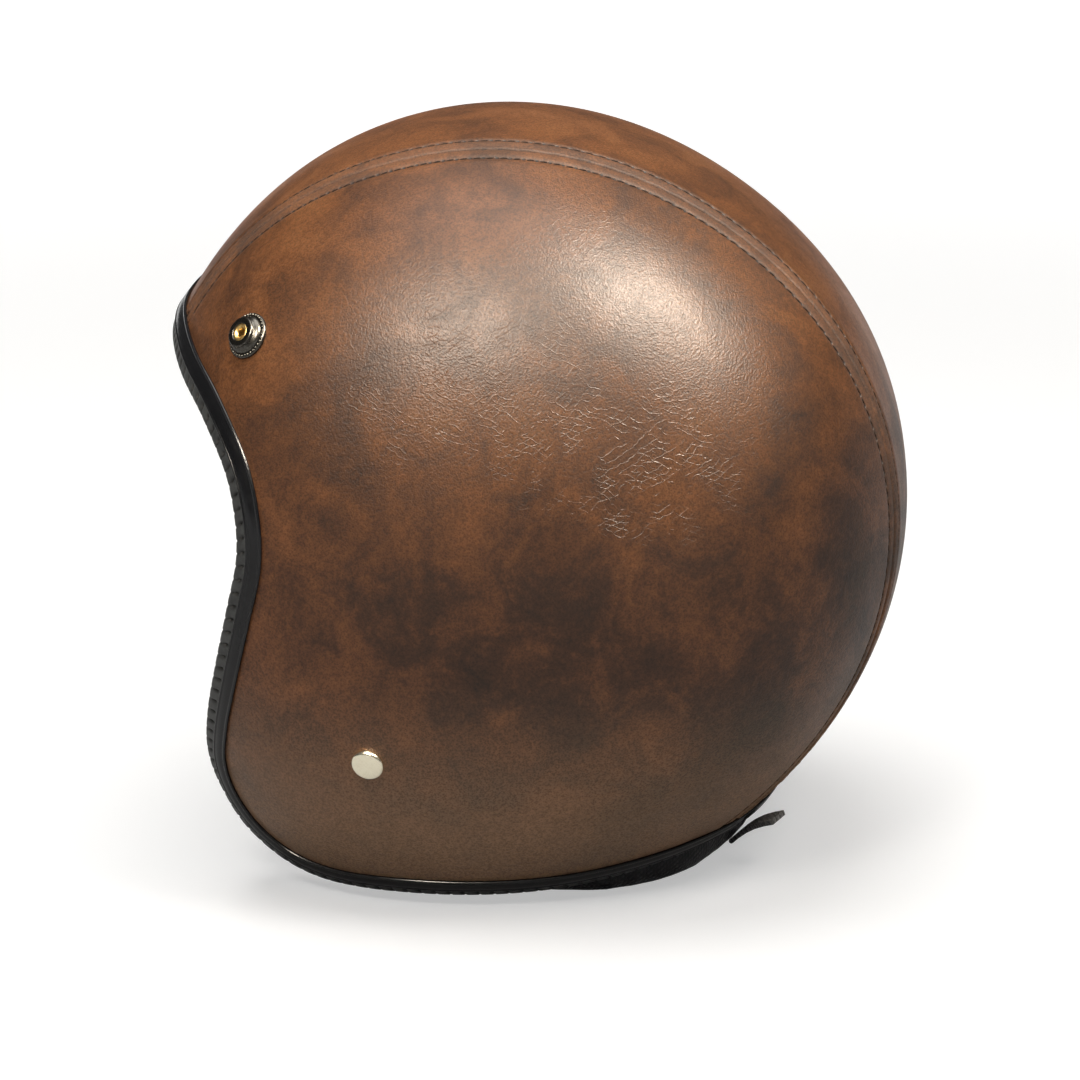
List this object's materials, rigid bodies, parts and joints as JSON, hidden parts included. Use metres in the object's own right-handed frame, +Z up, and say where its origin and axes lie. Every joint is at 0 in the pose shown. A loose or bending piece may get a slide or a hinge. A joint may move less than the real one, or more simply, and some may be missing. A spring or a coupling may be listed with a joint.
{
  "type": "motorcycle helmet",
  "caption": "Open-face leather-covered motorcycle helmet with padded lining, rubber edge trim, brow snaps, chin straps and D-rings.",
  "frame": {"origin": "middle of the bounding box at its base, on the surface the helmet stands on", "axes": "+X towards the wearer's left, -Y the way the wearer faces, +Z up"},
  "size_m": [0.2428, 0.2548, 0.2607],
  "materials": {
    "shell_composite": "moulded fibre composite, hidden",
    "brown_leather": "mottled brown, satin",
    "black_rubber": "semi-gloss",
    "black_padding": "soft cloth over foam",
    "black_webbing": "woven webbing",
    "foam": "moulded bead foam",
    "black_nickel": "polished black nickel",
    "pale_gold": "polished pale gold",
    "brass": "polished",
    "steel": "plated"
  },
  "bodies": {
    "helmet": {"shell": "shell_composite", "leather_left": "brown_leather", "leather_right": "brown_leather", "leather_centre": "brown_leather", "seam_welt_left": "brown_leather", "seam_welt_right": "brown_leather", "edge_trim": "black_rubber", "impact_liner_left": "foam", "impact_liner_right": "foam", "impact_liner_centre": "foam", "crown_liner": "black_padding", "brow_roll": "black_padding", "neck_roll": "black_padding", "cheek_pad_left": "black_padding", "cheek_pad_right": "black_padding", "snap_ring_left": "black_nickel", "snap_ring_right": "black_nickel", "snap_stud_left": "black_nickel", "snap_stud_right": "black_nickel", "snap_eyelet_left": "brass", "snap_eyelet_right": "brass", "rivet_left": "pale_gold", "rivet_right": "pale_gold", "rivet_washer_left": "steel", "rivet_washer_right": "steel", "strap_anchor_left": "black_webbing", "strap_anchor_right": "black_webbing"},
    "left_strap": {"strap_left": "black_webbing", "strap_pad_left": "black_padding"},
    "right_strap": {"strap_right": "black_webbing", "strap_pad_right": "black_padding"},
    "upper_ring": {"d_ring_upper": "steel"},
    "lower_ring": {"d_ring_lower": "steel"},
    "tail": {"strap_tail": "black_webbing", "tail_snap_cap": "black_nickel"},
    "tab": {"rear_tab": "black_webbing"}
  },
  "joints": [
    {"name": "strap_left_fold", "type": "hinge", "parent": "helmet", "child": "left_strap", "pos_m": [0.06658, -0.04684, 0.00885], "axis": [0, -1, 0], "range_deg": [0, 95]},
    {"name": "strap_right_fold", "type": "hinge", "parent": "helmet", "child": "right_strap", "pos_m": [-0.06658, -0.04684, 0.00885], "axis": [0, 1, 0], "range_deg": [0, 95]},
    {"name": "d_ring_upper_swing", "type": "hinge", "parent": "left_strap", "child": "upper_ring", "pos_m": [0.01675, -0.04684, 0.01333], "axis": [0, 1, 0], "range_deg": [0, 80]},
    {"name": "d_ring_lower_swing", "type": "hinge", "parent": "left_strap", "child": "lower_ring", "pos_m": [0.01633, -0.04684, 0.01036], "axis": [0, -1, 0], "range_deg": [0, 80]},
    {"name": "strap_tail_open", "type": "hinge", "parent": "right_strap", "child": "tail", "pos_m": [-0.01095, -0.04684, 0.01561], "axis": [0, -1, 0], "range_deg": [0, 90]},
    {"name": "rear_tab_flip", "type": "hinge", "parent": "helmet", "child": "tab", "pos_m": [0.02996, 0.07037, 0.00914], "axis": [-0.8752, 0.4669, 0.1267], "range_deg": [0, 100]}
  ]
}
